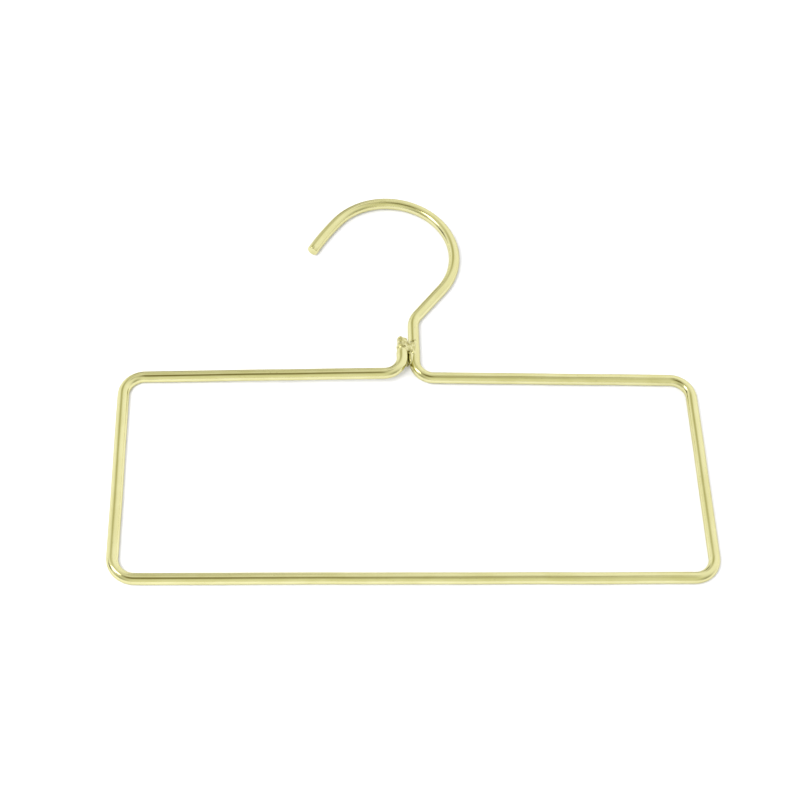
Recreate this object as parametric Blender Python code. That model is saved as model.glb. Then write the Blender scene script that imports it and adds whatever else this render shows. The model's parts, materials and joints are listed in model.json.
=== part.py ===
# Bent-wire hanger, lying flat with +X along its bottom bar, +Y towards the hook and +Z up.
# One length of round wire starts at a short stub beside the neck, runs round a rectangular
# frame, turns up as the neck and ends in an open hook. A weld bead ties the stub to the neck.
# The origin is the middle of the hanger's outline, on the surface that it lies on.

import math

import bmesh
import bpy
from mathutils import Matrix, Vector, noise

# Wire
WIRE_DIAMETER = 0.0050  # across the flats of its faceted section
WIRE_SIDES = 16  # a multiple of four, so that flats face straight up, down and sideways
WIRE_END_CHAMFER = 0.0004
CHORD_ERROR = 0.00003  # how far a bend's straight chords may cut inside its arc

# Frame, between centrelines
FRAME_WIDTH = 0.2500
FRAME_HEIGHT = 0.0965
CORNER_RADIUS = 0.0092

# Neck, turned up from the right-hand top bar
NECK_OFFSET = 0.0022  # to the right of the frame's middle
NECK_BEND_RADIUS = 0.0083
NECK_LENGTH = 0.0185  # its straight part
NECK_RISE = 0.0008  # how far the neck and hook stand above the frame's plane

# Stub, turned up from the left-hand top bar
STUB_SIDE_GAP = 0.0007  # between the stub and the neck, seen from above
STUB_BEND_RADIUS = 0.0084
STUB_LENGTH = 0.0088  # its straight part
STUB_RISE = 0.0043  # how far the left-hand bar has risen above the frame's plane at the stub

# Hook
THROAT_RADIUS = 0.0098
THROAT_TURN = math.radians(38.8)
THROAT_LENGTH = 0.0182
HOOK_RADIUS = 0.0303
HOOK_TURN = math.radians(180.0)
TIP_RADIUS = 0.1230
TIP_LENGTH = 0.0206

# Weld bead, in the valley between the stub and the neck
WELD_LENGTH = 0.0068  # along the neck
WELD_SPREAD = 0.0014  # how far it reaches over each wire, past that wire's centreline
WELD_PROUD = 0.0011  # above the wires' crowns
WELD_DEPTH = 0.0016  # below the plane through both centrelines
WELD_SHIFT = 0.0008  # its middle, nearer to the stub than to the neck
WELD_END_OVERHANG = 0.0004  # past the end of the stub
WELD_CLEARANCE = 0.0003  # between the bead and the wire
WELD_RIPPLE = 0.0003
WELD_RIPPLE_PITCH = 0.0022

WIRE_RADIUS = WIRE_DIAMETER / 2
STUB_SPACING = WIRE_DIAMETER + STUB_SIDE_GAP
STUB_OFFSET = NECK_OFFSET - STUB_SPACING
STUB_END = FRAME_HEIGHT + STUB_BEND_RADIUS + STUB_LENGTH
QUARTER_TURN = math.pi / 2
UP = Vector((0, 0, 1))

GOLD = (0.69, 0.66, 0.36, 1.0)
WELD_GOLD = (0.62, 0.58, 0.31, 1.0)


def bend_list():
    """Each row: straight feed, height that it ends at, bend radius, bend angle (left is positive)."""
    top_left = FRAME_WIDTH / 2 + STUB_OFFSET - STUB_BEND_RADIUS - CORNER_RADIUS
    top_right = FRAME_WIDTH / 2 - NECK_OFFSET - NECK_BEND_RADIUS - CORNER_RADIUS
    side = FRAME_HEIGHT - 2 * CORNER_RADIUS
    bottom = FRAME_WIDTH - 2 * CORNER_RADIUS
    return [
        (STUB_LENGTH, STUB_RISE, STUB_BEND_RADIUS, -QUARTER_TURN),
        (top_left, 0, CORNER_RADIUS, QUARTER_TURN),
        (side, 0, CORNER_RADIUS, QUARTER_TURN),
        (bottom, 0, CORNER_RADIUS, QUARTER_TURN),
        (side, 0, CORNER_RADIUS, QUARTER_TURN),
        (top_right, NECK_RISE, NECK_BEND_RADIUS, -QUARTER_TURN),
        (NECK_LENGTH, NECK_RISE, THROAT_RADIUS, -THROAT_TURN),
        (THROAT_LENGTH, NECK_RISE, HOOK_RADIUS, HOOK_TURN),
        (0, NECK_RISE, TIP_RADIUS, TIP_LENGTH / TIP_RADIUS),
    ]


def arc_steps(radius, angle):
    """Chords that keep within CHORD_ERROR of the arc."""
    return math.ceil(abs(angle) / (2 * math.acos(1 - CHORD_ERROR / radius)))


def wire_centreline():
    """Points along the wire from the stub's end to the hook's tip, with the frame's plane at z = 0."""
    heading = -QUARTER_TURN
    points = [Vector((STUB_OFFSET, STUB_END, STUB_RISE))]
    for feed, height, radius, angle in bend_list():
        ahead = Vector((math.cos(heading), math.sin(heading), 0))
        start = points[-1] + ahead * feed
        start.z = height
        if feed:
            points.append(start)
        to_centre = math.copysign(radius, angle) * Vector((-ahead.y, ahead.x, 0))
        centre = start + to_centre
        steps = arc_steps(radius, angle)
        for step in range(1, steps + 1):
            turned = Matrix.Rotation(angle * step / steps, 3, "Z") @ -to_centre
            points.append(centre + turned)
        heading += angle
    return points


def tube_mesh(name, centreline, radius):
    """A closed tube whose flats lie at the radius; each ring stands on its joint's mitre plane."""
    corner_radius = radius / math.cos(math.pi / WIRE_SIDES)
    bm = bmesh.new()
    rings = []
    for index, point in enumerate(centreline):
        arriving = (point - centreline[index - 1]) if index else (centreline[1] - point)
        leaving = (centreline[index + 1] - point) if index + 1 < len(centreline) else arriving
        along = (arriving.normalized() + leaving.normalized()).normalized()
        sideways = UP.cross(along).normalized()
        upwards = along.cross(sideways)
        mitre = 1 / arriving.normalized().dot(along)
        ring = []
        for corner in range(WIRE_SIDES):
            angle = 2 * math.pi * (corner + 0.5) / WIRE_SIDES
            across = sideways * (math.cos(angle) * corner_radius * mitre)
            ring.append(bm.verts.new(point + across + upwards * (math.sin(angle) * corner_radius)))
        rings.append(ring)
    for first, second in zip(rings, rings[1:]):
        for corner in range(WIRE_SIDES):
            turn = (corner + 1) % WIRE_SIDES
            bm.faces.new((first[corner], first[turn], second[turn], second[corner]))
    bm.faces.new(rings[0])
    bm.faces.new(rings[-1])
    bmesh.ops.recalc_face_normals(bm, faces=bm.faces)
    mesh = bpy.data.meshes.new(name)
    bm.to_mesh(mesh)
    bm.free()
    return mesh


def bead_mesh(name, width, height):
    """A rippled ellipsoid, with X across the two wires, Y along them and Z out of their valley."""
    bm = bmesh.new()
    bmesh.ops.create_icosphere(bm, subdivisions=4, radius=1)
    half_size = Vector((width / 2, WELD_LENGTH / 2, height / 2))
    for vert in bm.verts:
        outwards = vert.co.copy()
        vert.co = outwards * half_size
        vert.co += outwards * (WELD_RIPPLE * noise.noise(vert.co / WELD_RIPPLE_PITCH))
    mesh = bpy.data.meshes.new(name)
    bm.to_mesh(mesh)
    bm.free()
    return mesh


def metal(name, colour, roughness):
    material = bpy.data.materials.new(name)
    material.use_nodes = True
    shader = material.node_tree.nodes["Principled BSDF"]
    shader.inputs["Base Color"].default_value = colour
    shader.inputs["Metallic"].default_value = 1.0
    shader.inputs["Roughness"].default_value = roughness
    return material


def add_object(name, mesh, parent, material=None):
    obj = bpy.data.objects.new(name, mesh)
    bpy.context.scene.collection.objects.link(obj)
    obj.parent = parent
    if material:
        mesh.materials.append(material)
        mesh.shade_smooth()
        mesh.set_sharp_from_angle(angle=math.radians(40))
    return obj


def add_wire(parent, centreline):
    wire = add_object("hanger_wire", tube_mesh("hanger_wire", centreline, WIRE_RADIUS), parent,
                      metal("brass_plating", GOLD, 0.15))
    chamfer = wire.modifiers.new("end_chamfer", "BEVEL")
    chamfer.width = WIRE_END_CHAMFER
    chamfer.segments = 1
    chamfer.limit_method = "ANGLE"
    chamfer.angle_limit = math.radians(60)


def add_weld(parent, centreline):
    """The bead is cut to the two wires that it joins, less its clearance."""
    rise = STUB_RISE - NECK_RISE
    width = math.hypot(STUB_SPACING, rise) + 2 * WELD_SPREAD
    top = WIRE_RADIUS + WELD_PROUD
    height = top + WELD_DEPTH
    tilt = Matrix.Rotation(math.atan2(rise, STUB_SPACING), 4, "Y")
    between = Vector((
        (STUB_OFFSET + NECK_OFFSET) / 2,
        STUB_END + WELD_END_OVERHANG - WELD_LENGTH / 2,
        (STUB_RISE + NECK_RISE) / 2,
    ))
    weld = add_object("neck_weld", bead_mesh("neck_weld", width, height), parent,
                      metal("weld_metal", WELD_GOLD, 0.35))
    weld.location = between + tilt.to_3x3() @ Vector((-WELD_SHIFT, 0, top - height / 2))
    weld.rotation_euler = tilt.to_euler()

    first, second = centreline[:2]
    longer = [first + (first - second).normalized() * WELD_CLEARANCE] + centreline[1:]
    groove = add_object("groove_cutter", tube_mesh("groove_cutter", longer, WIRE_RADIUS + WELD_CLEARANCE),
                        parent)
    groove.hide_render = True
    groove.display_type = "WIRE"
    cut = weld.modifiers.new("wire_grooves", "BOOLEAN")
    cut.operation = "DIFFERENCE"
    cut.solver = "EXACT"
    cut.object = groove


def main():
    for obj in list(bpy.data.objects):
        bpy.data.objects.remove(obj)

    centreline = wire_centreline()
    outline_middle = (max(point.y for point in centreline) + min(point.y for point in centreline)) / 2
    frame_datum = add_object("frame_datum", None, None)
    frame_datum.location = (0, -outline_middle, WIRE_RADIUS)
    add_wire(frame_datum, centreline)
    add_weld(frame_datum, centreline)


main()
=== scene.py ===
# Looks for a bent-wire clothes hanger: one gold-plated wire, and the weld that closes its frame
# at the neck. The hanger lies flat on a pale table in a light tent.
import json
import math

import bpy
from mathutils import Matrix, Vector


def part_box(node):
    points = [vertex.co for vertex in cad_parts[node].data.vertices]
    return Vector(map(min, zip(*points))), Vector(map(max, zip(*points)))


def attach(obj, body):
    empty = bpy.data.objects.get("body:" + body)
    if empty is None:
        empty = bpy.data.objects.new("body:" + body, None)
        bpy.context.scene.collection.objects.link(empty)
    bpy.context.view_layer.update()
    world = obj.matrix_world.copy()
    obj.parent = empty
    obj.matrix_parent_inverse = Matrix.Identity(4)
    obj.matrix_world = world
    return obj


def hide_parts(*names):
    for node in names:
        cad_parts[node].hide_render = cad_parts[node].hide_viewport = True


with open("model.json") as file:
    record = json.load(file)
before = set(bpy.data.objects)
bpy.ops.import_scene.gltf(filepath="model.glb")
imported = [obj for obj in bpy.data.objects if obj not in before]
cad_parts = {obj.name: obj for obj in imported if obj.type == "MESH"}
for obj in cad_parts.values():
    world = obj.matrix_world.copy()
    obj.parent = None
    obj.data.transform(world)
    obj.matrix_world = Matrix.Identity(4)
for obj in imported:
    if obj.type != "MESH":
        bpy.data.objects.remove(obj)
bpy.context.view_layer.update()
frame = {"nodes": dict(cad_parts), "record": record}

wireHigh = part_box("hanger_wire")[1]
mounts = {mount["name"]: Vector(mount["pos_m"]) for mount in frame["record"]["mounts"]}
mm = 0.001
print("frame loaded:", sorted(frame["nodes"]))


def addNode(tree, kind, inputs=None, **settings):
    # a socket given in inputs is linked, and anything else becomes that input's own value
    node = tree.nodes.new(kind)
    for name, value in settings.items():
        setattr(node, name, value)
    for name, value in (inputs or {}).items():
        if isinstance(value, bpy.types.NodeSocket):
            tree.links.new(value, node.inputs[name])
        else:
            node.inputs[name].default_value = value
    return node


def maths(tree, operation, *values):
    return addNode(tree, "ShaderNodeMath", dict(enumerate(values)), operation=operation).outputs[0]


def vectorMaths(tree, operation, *values):
    node = addNode(tree, "ShaderNodeVectorMath", dict(enumerate(values)), operation=operation)
    single = operation in ("LENGTH", "DOT_PRODUCT", "DISTANCE")
    return node.outputs["Value" if single else "Vector"]


def scaled(tree, vector, factor):
    return addNode(tree, "ShaderNodeVectorMath", {0: vector, "Scale": factor}, operation="SCALE").outputs[0]


def ramped(tree, value, fromLow, fromHigh, toLow=0.0, toHigh=1.0):
    # an S-shaped step between two values
    node = addNode(tree, "ShaderNodeMapRange", interpolation_type="SMOOTHSTEP")
    for name, setting in zip(("Value", "From Min", "From Max", "To Min", "To Max"),
                             (value, fromLow, fromHigh, toLow, toHigh)):
        if isinstance(setting, bpy.types.NodeSocket):
            tree.links.new(setting, node.inputs[name])
        else:
            node.inputs[name].default_value = setting
    return node.outputs["Result"]


def noised(tree, vector, scale, detail=2.0, roughness=0.5):
    inputs = {"Vector": vector, "Scale": scale, "Detail": detail, "Roughness": roughness}
    return addNode(tree, "ShaderNodeTexNoise", inputs).outputs["Fac"]


def mixed(tree, factor, first, second):
    node = addNode(tree, "ShaderNodeMix", data_type="RGBA")
    for name, setting in (("Factor_Float", factor), ("A_Color", first), ("B_Color", second)):
        socket = next(s for s in node.inputs if s.identifier == name)
        if isinstance(setting, bpy.types.NodeSocket):
            tree.links.new(setting, socket)
        else:
            socket.default_value = (*setting, 1) if isinstance(setting, tuple) else setting
    return next(s for s in node.outputs if s.identifier == "Result_Color")


def attribute(tree, name, output="Fac"):
    return addNode(tree, "ShaderNodeAttribute", attribute_name=name).outputs[output]


def newGeometryTree(name, inputs):
    # inputs name each socket and its type
    tree = bpy.data.node_groups.new(name, "GeometryNodeTree")
    tree.interface.new_socket("Geometry", in_out="INPUT", socket_type="NodeSocketGeometry")
    tree.interface.new_socket("Geometry", in_out="OUTPUT", socket_type="NodeSocketGeometry")
    for label, kind in inputs.items():
        tree.interface.new_socket(label, in_out="INPUT", socket_type="NodeSocket" + kind)
    return tree, tree.nodes.new("NodeGroupInput"), tree.nodes.new("NodeGroupOutput")


def runTree(obj, tree, values):
    # sets the modifier's inputs, evaluates once and hands back a plain mesh object at the origin
    modifier = obj.modifiers.new(tree.name, "NODES")
    modifier.node_group = tree
    sockets = {item.name: item.identifier for item in tree.interface.items_tree
               if item.item_type == "SOCKET" and item.in_out == "INPUT"}
    for label, value in values.items():
        modifier[sockets[label]] = value
    bpy.context.view_layer.update()
    graph = bpy.context.evaluated_depsgraph_get()
    mesh = bpy.data.meshes.new_from_object(obj.evaluated_get(graph), preserve_all_data_layers=True,
                                           depsgraph=graph)
    name = obj.name
    bpy.data.objects.remove(obj)
    mesh.name = name
    piece = bpy.data.objects.new(name, mesh)
    bpy.context.scene.collection.objects.link(piece)
    return piece


def smoothStep(x):
    x = min(1.0, max(0.0, x))
    return x * x * (3 - 2 * x)


# lengths in metres, as the frame has them
wireShape = {
    "frameHeight": 0.0965,       # between the centrelines of the bars
    "cornerRadius": 0.0092,
    "neckBendRadius": 0.0083,
    "neckLength": 0.0185,
    "neckRise": 0.0008,          # how far the neck and hook stand above the frame
    "neckOffset": 0.0022,        # to the right of the middle
    "stubSpacing": 0.0057,       # from the neck's centreline to the stub's
    "stubBendRadius": 0.0084,
    "stubLength": 0.0088,
    "stubRise": 0.0043,
    "throatRadius": 0.0098,
    "throatTurn": math.radians(38.8),
    "throatLength": 0.0182,
    "hookRadius": 0.0303,
    "hookTurn": math.radians(180),
    "tipRadius": 0.1230,
    "tipLength": 0.0206,
    "endRounding": 0.0005,       # the cut ends' worn edge
    "endSteps": 6,
    "faceRings": (0.75, 0.5, 0.25, 0.04),  # across a cut end's face, as shares of its radius
    "faceBulge": 0.00006,
    "stubMelt": 0.22,            # how much the weld's heat thinned the stub's end, as a share of its radius
    "meltWhole": 0.0040,         # from the stub's end, where the thinning begins to fade, then where it ends
    "meltLength": 0.0066,
    "bendSquash": 0.10,          # how much narrower a bend as tight as the wire's radius would make it
    "sway": 0.00010,             # the straight runs aren't perfectly straight
    "swayLength": 0.055,
    "swayNone": 0.020,           # from the weld, where the sway sets in, then where it is full
    "swayFull": 0.050,
    "sidesAround": 48,
    "ringSpacing": 0.0012,       # along straight runs
    "bendStep": math.radians(3),
    "heatNone": 0.0125,          # from the weld's middle, how far its heat reached
    "heatFull": 0.0045,
    "rubNone": 0.020,            # from the hook's seat, how far a rail rubs it
    "rubFull": 0.004,
}

wireRadius = mounts["bottom_bar_face"].z
bottomBar = mounts["rest_face"].y
halfWidth = wireHigh.x - wireRadius
topBar = bottomBar + wireShape["frameHeight"]
stubAcross = wireShape["neckOffset"] - wireShape["stubSpacing"]
stubEnd = Vector((stubAcross, topBar + wireShape["stubBendRadius"] + wireShape["stubLength"],
                  wireRadius + wireShape["stubRise"]))


def bendRows(w):
    # straight feed, height at its end, bend radius, bend angle (left is positive)
    quarter = math.pi / 2
    topLeft = halfWidth + stubAcross - w["stubBendRadius"] - w["cornerRadius"]
    topRight = halfWidth - w["neckOffset"] - w["neckBendRadius"] - w["cornerRadius"]
    side = w["frameHeight"] - 2 * w["cornerRadius"]
    bottom = 2 * halfWidth - 2 * w["cornerRadius"]
    return [
        (w["stubLength"], w["stubRise"], w["stubBendRadius"], -quarter),
        (topLeft, 0, w["cornerRadius"], quarter),
        (side, 0, w["cornerRadius"], quarter),
        (bottom, 0, w["cornerRadius"], quarter),
        (side, 0, w["cornerRadius"], quarter),
        (topRight, w["neckRise"], w["neckBendRadius"], -quarter),
        (w["neckLength"], w["neckRise"], w["throatRadius"], -w["throatTurn"]),
        (w["throatLength"], w["neckRise"], w["hookRadius"], w["hookTurn"]),
        (0, w["neckRise"], w["tipRadius"], w["tipLength"] / w["tipRadius"]),
    ]


def layWire(w):
    # the centreline, and at each point the wire's radius as a share of the bend's (0 where it is straight)
    heading = -math.pi / 2
    points = [stubEnd.copy()]
    bends = [0.0]
    for feed, rise, radius, angle in bendRows(w):
        ahead = Vector((math.cos(heading), math.sin(heading), 0))
        begin = points[-1].copy()
        start = begin + ahead * feed
        start.z = wireRadius + rise
        steps = math.ceil(feed / w["ringSpacing"])
        for step in range(1, steps + 1):
            points.append(begin.lerp(start, step / steps))
            bends.append(0.0)
        toCentre = math.copysign(radius, angle) * Vector((-ahead.y, ahead.x, 0))
        steps = math.ceil(abs(angle) / min(w["bendStep"], w["ringSpacing"] / radius * 2))
        for step in range(1, steps + 1):
            turned = Matrix.Rotation(angle * step / steps, 3, "Z") @ -toCentre
            points.append(start + toCentre + turned)
            bends.append(wireRadius / radius)
        heading += angle
    return points, bends


def cutEnd(w, inner, outer):
    # rings from just inside a cut end out over its rounded edge and across its face
    outwards = (outer - inner).normalized()
    rounding = w["endRounding"]
    rings = []
    for step in range(1, w["endSteps"] + 1):
        angle = math.pi / 2 * step / w["endSteps"]
        rings.append((outer - outwards * rounding * (1 - math.sin(angle)),
                      1 - rounding / wireRadius * (1 - math.cos(angle))))
    face = 1 - rounding / wireRadius
    for share in w["faceRings"]:
        rings.append((outer + outwards * w["faceBulge"] * (1 - share), face * share))
    return rings


def buildWirePath(w):
    points, bends = layWire(w)
    sizes = [1.0] * len(points)
    fade = w["meltLength"] - w["meltWhole"]
    for index in range(math.ceil(w["stubLength"] / w["ringSpacing"])):
        fromEnd = (points[index] - stubEnd).length
        sizes[index] = 1 - w["stubMelt"] * smoothStep(1 - (fromEnd - w["meltWhole"]) / fade)
    stubRings = cutEnd(w, points[1], points[0])
    tipRings = cutEnd(w, points[-2], points[-1])
    melt = sizes[0]
    points = [p for p, s in reversed(stubRings)] + points[1:-1] + [p for p, s in tipRings]
    bends = [0.0] * len(stubRings) + bends[1:-1] + [0.0] * len(tipRings)
    sizes = [s * melt for p, s in reversed(stubRings)] + sizes[1:-1] + [s for p, s in tipRings]
    mesh = bpy.data.meshes.new("wirePath")
    mesh.from_pydata(points, [(i, i + 1) for i in range(len(points) - 1)], [])
    for name, values in (("bend", bends), ("ringSize", sizes)):
        mesh.attributes.new(name, "FLOAT", "POINT").data.foreach_set("value", values)
    path = bpy.data.objects.new("plated_wire", mesh)
    bpy.context.scene.collection.objects.link(path)
    return path


def wireTree():
    tree, given, result = newGeometryTree("bentWire", {
        "wireRadius": "Float", "sidesAround": "Int", "bendSquash": "Float", "sway": "Float",
        "swayLength": "Float", "swayNone": "Float", "swayFull": "Float", "heatNone": "Float",
        "heatFull": "Float", "rubNone": "Float", "rubFull": "Float", "weldPlace": "Vector",
        "seatPlace": "Vector", "plating": "Material",
    })
    size = given.outputs

    def stored(geometry, name, value, kind="FLOAT"):
        inputs = {"Geometry": geometry, "Name": name, "Value": value}
        return addNode(tree, "GeometryNodeStoreNamedAttribute", inputs, data_type=kind).outputs[0]

    def named(name, kind="FLOAT"):
        return addNode(tree, "GeometryNodeInputNamedAttribute", {"Name": name}, data_type=kind).outputs[0]

    curve = addNode(tree, "GeometryNodeMeshToCurve", {"Mesh": size["Geometry"]}).outputs[0]
    curve = addNode(tree, "GeometryNodeSetCurveNormal", {"Curve": curve}, mode="Z_UP").outputs[0]
    place = tree.nodes.new("GeometryNodeInputPosition").outputs[0]

    # a slow sideways sway along the straight runs, away from the weld
    along = tree.nodes.new("GeometryNodeSplineParameter").outputs["Length"]
    swayPattern = addNode(tree, "ShaderNodeTexNoise", {
        "W": maths(tree, "DIVIDE", along, size["swayLength"]), "Scale": 1.0, "Detail": 1.0},
        noise_dimensions="1D").outputs["Fac"]
    fromWeld = vectorMaths(tree, "DISTANCE", place, size["weldPlace"])
    free = ramped(tree, fromWeld, size["swayNone"], size["swayFull"])
    push = maths(tree, "MULTIPLY", maths(tree, "SUBTRACT", swayPattern, 0.5), size["sway"])
    # noise seldom strays more than a quarter from its middle
    push = maths(tree, "MULTIPLY", maths(tree, "DIVIDE", push, 0.25), free)
    sideways = tree.nodes.new("GeometryNodeInputNormal").outputs[0]
    shift = scaled(tree, sideways, push)
    curve = addNode(tree, "GeometryNodeSetPosition", {"Geometry": curve, "Offset": shift}).outputs[0]

    # what the section needs to know at each ring
    softBend = addNode(tree, "GeometryNodeBlurAttribute", {"Value": named("bend"), "Iterations": 3},
                       data_type="FLOAT").outputs[0]
    curve = stored(curve, "bend", softBend)
    curve = stored(curve, "along", along)
    curve = stored(curve, "sideways", sideways, "FLOAT_VECTOR")
    section = addNode(tree, "GeometryNodeCurvePrimitiveCircle",
                      {"Resolution": size["sidesAround"], "Radius": size["wireRadius"]}).outputs[0]
    section = stored(section, "section", place, "FLOAT_VECTOR")
    tube = addNode(tree, "GeometryNodeCurveToMesh",
                   {"Curve": curve, "Profile Curve": section, "Scale": named("ringSize"),
                    "Fill Caps": True}).outputs[0]

    # the wire as if it were straight: its section's two axes, then the length along it
    cross = addNode(tree, "ShaderNodeSeparateXYZ", {0: named("section", "FLOAT_VECTOR")}).outputs
    tube = stored(tube, "straightWire", addNode(tree, "ShaderNodeCombineXYZ", {
        "X": maths(tree, "MULTIPLY", cross["X"], named("ringSize")),
        "Y": maths(tree, "MULTIPLY", cross["Y"], named("ringSize")),
        "Z": named("along")}).outputs[0], "FLOAT_VECTOR")

    # bends press the section slightly flat
    squash = maths(tree, "MULTIPLY", maths(tree, "MULTIPLY", named("bend"), size["bendSquash"]), -1.0)
    squash = maths(tree, "MULTIPLY", squash, cross["X"])
    inwards = scaled(tree, named("sideways", "FLOAT_VECTOR"), squash)
    tube = addNode(tree, "GeometryNodeSetPosition", {"Geometry": tube, "Offset": inwards}).outputs[0]

    # where the weld's heat and the rail's rubbing reached
    tube = stored(tube, "heat", ramped(tree, vectorMaths(tree, "DISTANCE", place, size["weldPlace"]),
                                       size["heatNone"], size["heatFull"]))
    tube = stored(tube, "rub", ramped(tree, vectorMaths(tree, "DISTANCE", place, size["seatPlace"]),
                                      size["rubNone"], size["rubFull"]))
    for name in ("section", "sideways", "ringSize", "along"):
        tube = addNode(tree, "GeometryNodeRemoveAttribute", {"Geometry": tube, "Name": name}).outputs[0]
    tube = addNode(tree, "GeometryNodeSetShadeSmooth", {"Geometry": tube}).outputs[0]
    tube = addNode(tree, "GeometryNodeRealizeInstances", {"Geometry": tube}).outputs[0]
    tube = addNode(tree, "GeometryNodeSetMaterial",
                   {"Geometry": tube, "Material": size["plating"]}).outputs[0]
    tree.links.new(tube, result.inputs["Geometry"])
    return tree


platingFinish = {
    "pale": (0.695, 0.668, 0.362),
    "warm": (0.650, 0.620, 0.310),
    "edge": (0.66, 0.63, 0.44),
    "speck": (0.33, 0.29, 0.11),
    "heatTint": (0.49, 0.44, 0.19),
    "roughness": 0.09,
    "lacquer": 0.12,
    "lacquerRoughness": 0.07,
    "lineScale": 5200,           # noise cells in a metre: fine drawn lines, then broad ones
    "broadLineScale": 1100,
    "lineStretch": 0.035,        # along the wire
    "cloudScale": 260,
    "cloudStretch": 0.3,
    "peelScale": 1500,
    "pitScale": 420.0,
}


def paintPlating():
    f = platingFinish
    material = bpy.data.materials.new("brightGoldPlating")
    material.use_nodes = True
    tree = material.node_tree
    shader = tree.nodes["Principled BSDF"]
    shader.inputs["Metallic"].default_value = 1.0
    shader.inputs["Specular Tint"].default_value = (*f["edge"], 1)
    shader.inputs["Coat Weight"].default_value = f["lacquer"]
    shader.inputs["Coat Roughness"].default_value = f["lacquerRoughness"]
    wire = attribute(tree, "straightWire", "Vector")
    # drawn lines run along the wire, so the pattern is stretched that way
    drawn = addNode(tree, "ShaderNodeMapping", {"Vector": wire, "Scale": (1, 1, f["lineStretch"])}).outputs[0]
    lines = noised(tree, drawn, f["lineScale"], 3, 0.6)
    broadLines = noised(tree, drawn, f["broadLineScale"], 2, 0.5)
    stretched = addNode(tree, "ShaderNodeMapping",
                        {"Vector": wire, "Scale": (1, 1, f["cloudStretch"])}).outputs[0]
    clouds = noised(tree, stretched, f["cloudScale"], 3, 0.55)
    orangePeel = noised(tree, wire, f["peelScale"], 1, 0.4)
    pits = addNode(tree, "ShaderNodeTexVoronoi", {"Vector": wire, "Scale": f["pitScale"]}, feature="F1")
    pitDepth = ramped(tree, pits.outputs["Distance"], 0.03, 0.10, 1.0, 0.0)
    heat = attribute(tree, "heat")
    rub = attribute(tree, "rub")

    colour = mixed(tree, ramped(tree, clouds, 0.35, 0.68), f["pale"], f["warm"])
    colour = mixed(tree, ramped(tree, lines, 0.55, 0.8, 0.0, 0.16), colour, f["warm"])
    colour = mixed(tree, maths(tree, "MULTIPLY", pitDepth, 0.6), colour, f["speck"])
    heatPatches = maths(tree, "MULTIPLY", heat, ramped(tree, clouds, 0.3, 0.7, 0.25, 0.75))
    colour = mixed(tree, heatPatches, colour, f["heatTint"])
    tree.links.new(colour, shader.inputs["Base Color"])

    rough = maths(tree, "ADD", f["roughness"], ramped(tree, broadLines, 0.4, 0.75, 0.0, 0.05))
    rough = maths(tree, "ADD", rough, ramped(tree, clouds, 0.45, 0.75, 0.0, 0.05))
    rough = maths(tree, "ADD", rough, maths(tree, "MULTIPLY", rub, ramped(tree, lines, 0.4, 0.6, 0.02, 0.16)))
    rough = maths(tree, "ADD", rough, maths(tree, "MULTIPLY", heat, 0.12))
    tree.links.new(rough, shader.inputs["Roughness"])

    bump = addNode(tree, "ShaderNodeBump", {"Height": lines, "Strength": 0.18, "Distance": 0.02 * mm})
    bump = addNode(tree, "ShaderNodeBump", {"Height": orangePeel, "Strength": 0.25, "Distance": 0.02 * mm,
                                            "Normal": bump.outputs[0]})
    bump = addNode(tree, "ShaderNodeBump", {"Height": pitDepth, "Strength": 0.5, "Distance": 0.03 * mm,
                                            "Normal": bump.outputs[0]}, invert=True)
    tree.links.new(bump.outputs[0], shader.inputs["Normal"])
    return material


def makeWire():
    weldLow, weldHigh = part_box("neck_weld")
    ownValues = ("sidesAround", "bendSquash", "sway", "swayLength", "swayNone", "swayFull",
                 "heatNone", "heatFull", "rubNone", "rubFull")
    wire = runTree(buildWirePath(wireShape), wireTree(), {
        **{name: wireShape[name] for name in ownValues},
        "wireRadius": wireRadius,
        "weldPlace": (weldLow + weldHigh) / 2,
        "seatPlace": mounts["hook_seat"],
        "plating": paintPlating(),
    })
    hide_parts("hanger_wire")
    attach(wire, "root")
    print("wire:", len(wire.data.polygons), "faces")


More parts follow.
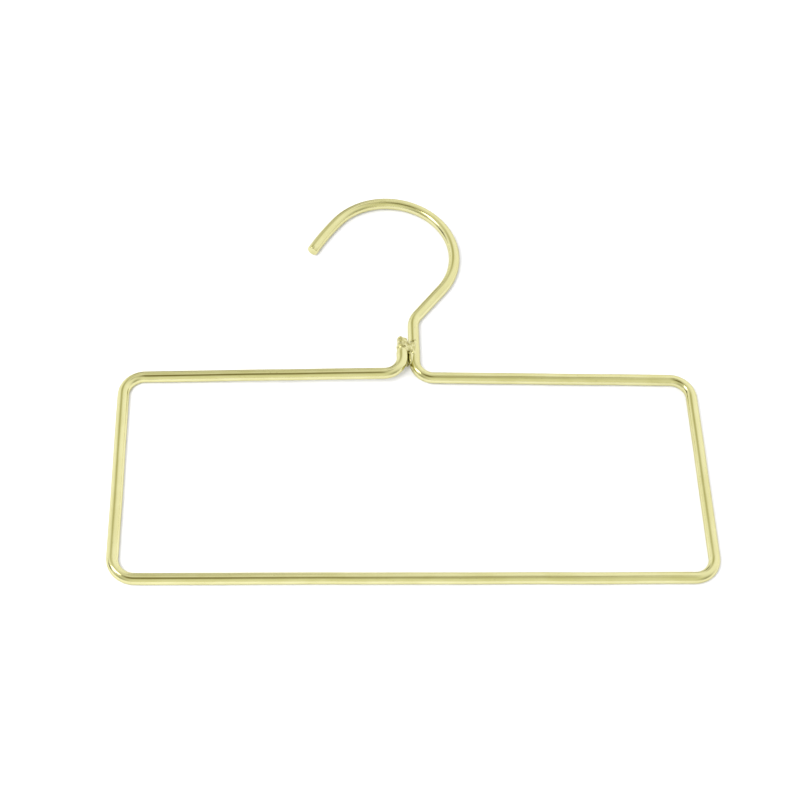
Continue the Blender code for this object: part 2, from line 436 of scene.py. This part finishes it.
# lumps of weld metal in mm: across the two wires from their middle, along them from the stub's end,
# above the plane through both centrelines, then the three half-sizes and a turn in that plane
weldShape = {
    "lumps": {
        "bridge": ((-0.5, -3.7, 0.9), (3.0, 2.4, 1.7), 0),
        "stubSide": ((-3.35, -3.6, 0.1), (2.50, 2.6, 2.52), 0),
        "nub": ((-4.75, 0.35, 0.6), (1.0, 0.8, 1.4), 8),
        "ledge": ((-2.4, -0.5, 1.3), (1.3, 0.55, 0.9), -14),
        "puddle": ((1.5, -2.0, 1.35), (1.9, 2.3, 1.35), 0),
        "lip": ((1.7, 0.9, 1.85), (1.45, 0.40, 0.8), 12),
        "trail": ((1.7, -5.2, 1.8), (0.7, 1.5, 0.6), 25),
        "fillet": ((1.15, -7.2, 0.1), (1.3, 3.8, 1.6), 0),
        # the root lump is a web of metal low in the gap between the wires, there to carry the crevice's
        # painted shade
        "root": ((-0.3, -8.2, -1.3), (1.9, 4.0, 0.8), 0),
    },
    "hollows": {
        "crease": ((-2.9, -1.5, 2.75), (2.0, 0.28, 0.75), 22),
        "crater": ((-3.9, -2.7, 2.75), (0.6, 0.45, 0.55), 0),
        "pinhole": ((-3.4, -4.3, 2.65), (0.42, 0.35, 0.5), 0),
        "notch": ((0.7, 0.0, 2.75), (1.5, 0.28, 0.5), -12),
        "pit": ((-0.7, -5.9, 1.5), (0.5, 0.55, 1.3), 0),
    },
    "stubFace": (-6.0, 0.55, 0.40),  # the stub's cap, from and to along it, and its edge's rounding
    "stubLean": (0.35, 0.92),        # how far that cap sits over, and its size as a share of the wire's
    "neckCore": (-6.5, 1.0),         # the metal round the neck, from and to along it
    "coreInset": 0.12,               # how much thinner it is than the wire
    "roughAlong": (-6.4, -5.2),      # below this the metal ran smooth
    "roughLeast": 0.1,
    "creviceShadeDepth": (0.9, -0.2),        # painted shade: dark metal deep between the wires, where they shade each other
    "creviceShadeAlong": (-4.6, -5.6),
    "creviceShadeFade": (-10.0, -7.0),
    "creviceShadeLeast": 0.45,
    "calmAlong": (-5.0, -6.2),       # brighter, calmer metal below the bead
    "halfBox": (8, 12, 4.5),         # the space that the lumps are worked out in
    "dipReach": 10,                  # rounds of smoothing that a hollow is measured against
    "blend": 0.0006,                 # in metres, as are the next five
    "hollowBlend": 0.00025,
    "ripple": 0.00026,
    "ripplePitch": 0.0017,
    "grain": 0.00018,
    "grainPitch": 0.00055,
    "voxels": 120,
    "seed": 7,
}


def weldTree(w):
    tree, given, result = newGeometryTree("weldMetal", {
        "middle": "Vector", "tilt": "Float", "wireSpacing": "Float", "wireRadius": "Float",
        "halfBox": "Vector", "blend": "Float", "hollowBlend": "Float", "ripple": "Float",
        "ripplePitch": "Float", "grain": "Float", "grainPitch": "Float", "voxels": "Int",
        "seed": "Float", "finish": "Material",
    })
    size = given.outputs
    place = tree.nodes.new("GeometryNodeInputPosition").outputs[0]
    sides = addNode(tree, "ShaderNodeSeparateXYZ", {0: place}).outputs
    along = sides["Y"]
    above = sides["Z"]

    def lumpField(centre, half, turn):
        offset = vectorMaths(tree, "SUBTRACT", place, tuple(c * mm for c in centre))
        offset = addNode(tree, "ShaderNodeVectorRotate", {"Vector": offset, "Angle": math.radians(-turn)},
                         rotation_type="Z_AXIS").outputs[0]
        reach = vectorMaths(tree, "LENGTH", vectorMaths(tree, "DIVIDE", offset, tuple(h * mm for h in half)))
        return maths(tree, "MULTIPLY", maths(tree, "SUBTRACT", reach, 1.0), min(half) * mm)

    def acrossFrom(side):
        # how far over a place is from the stub's middle, side -1, or the neck's, side 1
        return maths(tree, "SUBTRACT", sides["X"], maths(tree, "MULTIPLY", size["wireSpacing"], side / 2))

    def lengthOf(x, y, z):
        joined = addNode(tree, "ShaderNodeCombineXYZ", {"X": x, "Y": y, "Z": z}).outputs[0]
        return vectorMaths(tree, "LENGTH", joined)

    def wireField(side, low, high):
        # a round-ended core, a little thinner than the wire that it holds
        nearest = addNode(tree, "ShaderNodeClamp",
                          {"Value": along, "Min": low * mm, "Max": high * mm}).outputs[0]
        reach = lengthOf(acrossFrom(side), maths(tree, "SUBTRACT", along, nearest), above)
        core = maths(tree, "SUBTRACT", size["wireRadius"], w["coreInset"] * mm)
        return maths(tree, "SUBTRACT", reach, core)

    def cappedField(side, low, high, rounding, shift, share):
        # a core cut square, with a worn edge
        across = maths(tree, "SUBTRACT", acrossFrom(side), shift * mm)
        radius = maths(tree, "MULTIPLY", size["wireRadius"], share)
        outside = maths(tree, "SUBTRACT", lengthOf(across, 0.0, above),
                        maths(tree, "SUBTRACT", radius, rounding * mm))
        fromMiddle = maths(tree, "ABSOLUTE", maths(tree, "SUBTRACT", along, (low + high) / 2 * mm))
        past = maths(tree, "SUBTRACT", fromMiddle, (high - low) / 2 * mm - rounding * mm)
        reach = lengthOf(maths(tree, "MAXIMUM", outside, 0.0), maths(tree, "MAXIMUM", past, 0.0), 0.0)
        inside = maths(tree, "MINIMUM", maths(tree, "MAXIMUM", outside, past), 0.0)
        return maths(tree, "SUBTRACT", maths(tree, "ADD", reach, inside), rounding * mm)

    stubCap = cappedField(-1, *w["stubFace"], *w["stubLean"])
    field = maths(tree, "SMOOTH_MIN", stubCap, wireField(1, *w["neckCore"]), size["blend"])
    for centre, half, turn in w["lumps"].values():
        field = maths(tree, "SMOOTH_MIN", field, lumpField(centre, half, turn), size["blend"])
    for centre, half, turn in w["hollows"].values():
        cut = maths(tree, "MULTIPLY", lumpField(centre, half, turn), -1.0)
        field = maths(tree, "SMOOTH_MAX", field, cut, size["hollowBlend"])

    def roughened(field, amount, pitch):
        pattern = addNode(tree, "ShaderNodeTexNoise", {
            "Vector": vectorMaths(tree, "DIVIDE", place, addNode(
                tree, "ShaderNodeCombineXYZ", {"X": pitch, "Y": pitch, "Z": pitch}).outputs[0]),
            "W": size["seed"], "Scale": 1.0, "Detail": 2.0}, noise_dimensions="4D").outputs["Fac"]
        return maths(tree, "ADD", field, maths(
            tree, "MULTIPLY", maths(tree, "SUBTRACT", pattern, 0.5), maths(tree, "MULTIPLY", amount, 2.0)))

    def over(value, span, low=0.0, high=1.0):
        return ramped(tree, value, span[0] * mm, span[1] * mm, low, high)

    rough = over(along, w["roughAlong"], w["roughLeast"])
    field = roughened(field, maths(tree, "MULTIPLY", size["ripple"], rough), size["ripplePitch"])
    field = roughened(field, maths(tree, "MULTIPLY", size["grain"], rough), size["grainPitch"])
    density = maths(tree, "MULTIPLY", field, -1 / mm)
    box = vectorMaths(tree, "MULTIPLY", size["halfBox"], (-1.0, -1.0, -1.0))
    volume = addNode(tree, "GeometryNodeVolumeCube", {
        "Density": density, "Background": -1.0, "Min": box, "Max": size["halfBox"],
        "Resolution X": size["voxels"], "Resolution Y": size["voxels"],
        "Resolution Z": size["voxels"]}).outputs[0]
    skin = addNode(tree, "GeometryNodeVolumeToMesh", {"Volume": volume, "Threshold": 0.0}).outputs[0]
    # how deep each place lies in a hollow, for painted shade in the dips
    flat = addNode(tree, "GeometryNodeBlurAttribute", {"Value": place, "Iterations": w["dipReach"]},
                   data_type="FLOAT_VECTOR").outputs[0]
    normal = tree.nodes.new("GeometryNodeInputNormal").outputs[0]
    dip = vectorMaths(tree, "DOT_PRODUCT", vectorMaths(tree, "SUBTRACT", flat, place), normal)
    skin = addNode(tree, "GeometryNodeStoreNamedAttribute",
                   {"Geometry": skin, "Name": "dip", "Value": maths(tree, "MULTIPLY", dip, 1 / mm)},
                   data_type="FLOAT").outputs[0]
    relaxed = addNode(tree, "GeometryNodeBlurAttribute", {"Value": place, "Iterations": 1},
                      data_type="FLOAT_VECTOR").outputs[0]
    skin = addNode(tree, "GeometryNodeSetPosition", {"Geometry": skin, "Position": relaxed}).outputs[0]
    # painted shade as dark metal deep between the wires, and calm metal where it ran down beyond the bead
    creviceShade = maths(tree, "MULTIPLY", over(above, w["creviceShadeDepth"]), over(along, w["creviceShadeAlong"]))
    creviceShade = maths(tree, "MULTIPLY", creviceShade, over(along, w["creviceShadeFade"], w["creviceShadeLeast"]))
    calm = over(along, w["calmAlong"])
    for name, value in (("creviceShade", creviceShade), ("calm", calm)):
        skin = addNode(tree, "GeometryNodeStoreNamedAttribute",
                       {"Geometry": skin, "Name": name, "Value": value}, data_type="FLOAT").outputs[0]
    # into place, over the two wires
    skin = addNode(tree, "GeometryNodeTransform", {
        "Geometry": skin, "Translation": size["middle"],
        "Rotation": addNode(tree, "ShaderNodeCombineXYZ", {"Y": size["tilt"]}).outputs[0]}).outputs[0]
    skin = addNode(tree, "GeometryNodeSetShadeSmooth", {"Geometry": skin}).outputs[0]
    skin = addNode(tree, "GeometryNodeRealizeInstances", {"Geometry": skin}).outputs[0]
    skin = addNode(tree, "GeometryNodeSetMaterial", {"Geometry": skin, "Material": size["finish"]}).outputs[0]
    tree.links.new(skin, result.inputs["Geometry"])
    return tree


weldFinish = {
    "crest": (0.71, 0.68, 0.38),
    "body": (0.52, 0.485, 0.22),
    # painted shade: the next colour darkens the metal in the hollows
    "dip": (0.25, 0.21, 0.075),
    # painted shade: root and its edge tint make the metal deep between the wires near black
    "root": (0.110, 0.088, 0.014),
    "creviceShadeEdge": (0.40, 0.34, 0.10),
    "roughness": 0.26,
    "grainScale": 3800,
    "patchScale": 900,
}


def paintWeld():
    f = weldFinish
    material = bpy.data.materials.new("platedWeldMetal")
    material.use_nodes = True
    tree = material.node_tree
    shader = tree.nodes["Principled BSDF"]
    shader.inputs["Metallic"].default_value = 1.0
    place = addNode(tree, "ShaderNodeTexCoord").outputs["Object"]
    grain = noised(tree, place, f["grainScale"], 3, 0.6)
    patches = noised(tree, place, f["patchScale"], 2, 0.5)
    dip = attribute(tree, "dip")
    colour = mixed(tree, ramped(tree, patches, 0.4, 0.65), f["body"], f["crest"])
    # painted shade: metal in the hollows is darkened as if in shade
    colour = mixed(tree, ramped(tree, dip, 0.01, 0.08, 0.0, 0.9), colour, f["dip"])
    calm = attribute(tree, "calm")
    colour = mixed(tree, calm, colour, f["crest"])
    # painted shade: deep between the wires the metal turns near black and its edge tint darkens, standing in
    # for the crevice's shade
    creviceShade = attribute(tree, "creviceShade")
    colour = mixed(tree, maths(tree, "MULTIPLY", creviceShade, 0.95), colour, f["root"])
    tree.links.new(colour, shader.inputs["Base Color"])
    tree.links.new(mixed(tree, creviceShade, (1.0, 1.0, 1.0), f["creviceShadeEdge"]), shader.inputs["Specular Tint"])
    rough = maths(tree, "ADD", f["roughness"], ramped(tree, grain, 0.35, 0.7, 0.0, 0.16))
    rough = maths(tree, "SUBTRACT", rough, maths(tree, "MULTIPLY", calm, 0.12))
    tree.links.new(rough, shader.inputs["Roughness"])
    bump = addNode(tree, "ShaderNodeBump", {"Height": grain, "Strength": 0.5, "Distance": 0.05 * mm})
    tree.links.new(bump.outputs[0], shader.inputs["Normal"])
    return material


def makeWeld():
    w = weldShape
    gap = Vector((wireShape["stubSpacing"], 0, wireShape["neckRise"] - wireShape["stubRise"]))
    middle = stubEnd + gap / 2
    start = bpy.data.objects.new("neck_weld_metal", bpy.data.meshes.new("weldStart"))
    bpy.context.scene.collection.objects.link(start)
    ownValues = ("blend", "hollowBlend", "ripple", "ripplePitch", "grain", "grainPitch", "voxels")
    weld = runTree(start, weldTree(w), {
        **{name: w[name] for name in ownValues},
        "middle": middle,
        "tilt": math.atan2(-gap.z, gap.x),
        "wireSpacing": gap.length,
        "wireRadius": wireRadius,
        "halfBox": tuple(half * mm for half in w["halfBox"]),
        "seed": float(w["seed"]),
        "finish": paintWeld(),
    })
    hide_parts("neck_weld")
    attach(weld, "root")
    print("weld:", len(weld.data.polygons), "faces")


tableShape = {
    "size": 12.0,
    "tone": (0.87, 0.875, 0.985),
    "fleck": (0.85, 0.855, 0.965),
    "fleckScale": 45,
    "grainScale": 900,
}


def makeTable():
    half = tableShape["size"] / 2
    mesh = bpy.data.meshes.new("table")
    corners = [(-half, -half, 0), (half, -half, 0), (half, half, 0), (-half, half, 0)]
    mesh.from_pydata(corners, [], [(0, 1, 2, 3)])
    material = bpy.data.materials.new("paleTable")
    material.use_nodes = True
    tree = material.node_tree
    shader = tree.nodes["Principled BSDF"]
    shader.inputs["Specular IOR Level"].default_value = 0.2
    place = addNode(tree, "ShaderNodeTexCoord").outputs["Object"]
    fleck = noised(tree, place, tableShape["fleckScale"], 4, 0.6)
    tree.links.new(mixed(tree, ramped(tree, fleck, 0.4, 0.6), tableShape["tone"], tableShape["fleck"]),
                   shader.inputs["Base Color"])
    tree.links.new(ramped(tree, fleck, 0.3, 0.7, 0.6, 0.7), shader.inputs["Roughness"])
    grain = noised(tree, place, tableShape["grainScale"], 2)
    bump = addNode(tree, "ShaderNodeBump", {"Height": grain, "Strength": 0.1, "Distance": 0.05 * mm})
    tree.links.new(bump.outputs[0], shader.inputs["Normal"])
    mesh.materials.append(material)
    table = bpy.data.objects.new("table", mesh)
    bpy.context.scene.collection.objects.link(table)


# the tent's wall is even white but for a few soft patches: direction, tightness, and how much of
# red, green and blue each takes away
tent = {
    "glow": 1.25,
    "patches": {
        "opening": ((-0.16, -0.23, 0.96), 15.0, (0.84, 0.87, 0.99)),
        "openingEdge": ((0.17, 0.20, 0.97), 220.0, (0.84, 0.87, 0.985)),
        "front": ((0.01, -0.65, 0.76), 2.2, (0.18, 0.18, 0.33)),
        "backLeft": ((-0.36, 0.58, 0.73), 14.0, (0.52, 0.54, 0.74)),
        "backSpot": ((-0.04, 0.76, 0.65), 324.0, (0.82, 0.87, 0.98)),
        "backFoot": ((-0.21, 0.97, 0.09), 29.0, (0.95, 0.95, 0.95)),
        "frontLeft": ((-0.70, -0.66, 0.26), 10.0, (0.55, 0.55, 0.60)),
        "frontRight": ((0.70, -0.66, 0.26), 10.0, (0.55, 0.55, 0.60)),
        "leftFoot": ((-0.98, 0.03, 0.17), 36.0, (0.98, 0.98, 0.98)),
    },
}


def lightTent():
    world = bpy.data.worlds.new("lightTent")
    bpy.context.scene.world = world
    world.use_nodes = True
    tree = world.node_tree
    direction = addNode(tree, "ShaderNodeTexCoord").outputs["Generated"]
    light = (1.0, 1.0, 1.0)
    for towards, tightness, taken in tent["patches"].values():
        facing = vectorMaths(tree, "DOT_PRODUCT", direction, tuple(Vector(towards).normalized()))
        patch = maths(tree, "POWER", maths(tree, "MAXIMUM", facing, 0.0), tightness)
        left = vectorMaths(tree, "SUBTRACT", (1.0, 1.0, 1.0), scaled(tree, taken, patch))
        light = vectorMaths(tree, "MULTIPLY", light, left)
    background = tree.nodes["Background"]
    tree.links.new(light, background.inputs["Color"])
    background.inputs["Strength"].default_value = tent["glow"]


lamps = {
    "stripBox": {
        "towards": (-0.65, -0.08, 0.75),
        "distance": 1.2,
        "width": 0.30,
        "height": 0.50,
        "power": 2.6,
        "colour": (1.0, 0.99, 0.92),
        "inReflections": True,
    },
    "topBox": {
        "towards": (-0.28, -0.38, 0.88),
        "distance": 1.2,
        "width": 0.45,
        "height": 0.45,
        "power": 9.5,
        "colour": (1.0, 1.0, 0.97),
        "inReflections": False,     # its cloth is out of sight from the wire
    },
}


def hangLamp(name, lamp):
    towards = Vector(lamp["towards"]).normalized()
    across = Vector((0, 1, 0)).cross(towards).normalized()
    data = bpy.data.lights.new(name, "AREA")
    data.shape = "RECTANGLE"
    data.size = lamp["width"]
    data.size_y = lamp["height"]
    data.energy = lamp["power"]
    data.color = lamp["colour"]
    light = bpy.data.objects.new(name, data)
    sideways = across.cross(towards)
    light.matrix_world = (Matrix.Translation(towards * lamp["distance"])
                          @ Matrix((sideways, across, towards)).transposed().to_4x4())
    light.visible_glossy = lamp["inReflections"]
    bpy.context.scene.collection.objects.link(light)


viewpoint = {
    "azimuth": math.radians(-7.52),
    "elevation": math.radians(58.81),
    "roll": math.radians(6.77),
    "distance": 0.7070,
    "lens": 72.63,
    "sensor": 36,
    "clip": (0.05, 20),
    "aim": Vector((-0.0048, -0.01105, 0.0025)),
}


def placeCamera():
    v = viewpoint
    back = Vector((math.sin(v["azimuth"]) * math.cos(v["elevation"]),
                   -math.cos(v["azimuth"]) * math.cos(v["elevation"]), math.sin(v["elevation"])))
    right = Vector((math.cos(v["azimuth"]), math.sin(v["azimuth"]), 0))
    turned = Matrix((right, back.cross(right), back)).transposed() @ Matrix.Rotation(v["roll"], 3, "Z")
    data = bpy.data.cameras.new("camera")
    data.lens = v["lens"]
    data.sensor_width = v["sensor"]
    data.clip_start, data.clip_end = v["clip"]
    camera = bpy.data.objects.new("camera", data)
    camera.matrix_world = Matrix.Translation(v["aim"] + back * v["distance"]) @ turned.to_4x4()
    bpy.context.scene.collection.objects.link(camera)
    bpy.context.scene.camera = camera


makeWire()
makeWeld()
makeTable()
lightTent()
for lampName, lamp in lamps.items():
    hangLamp(lampName, lamp)
placeCamera()
bpy.context.scene.view_settings.view_transform = "Standard"
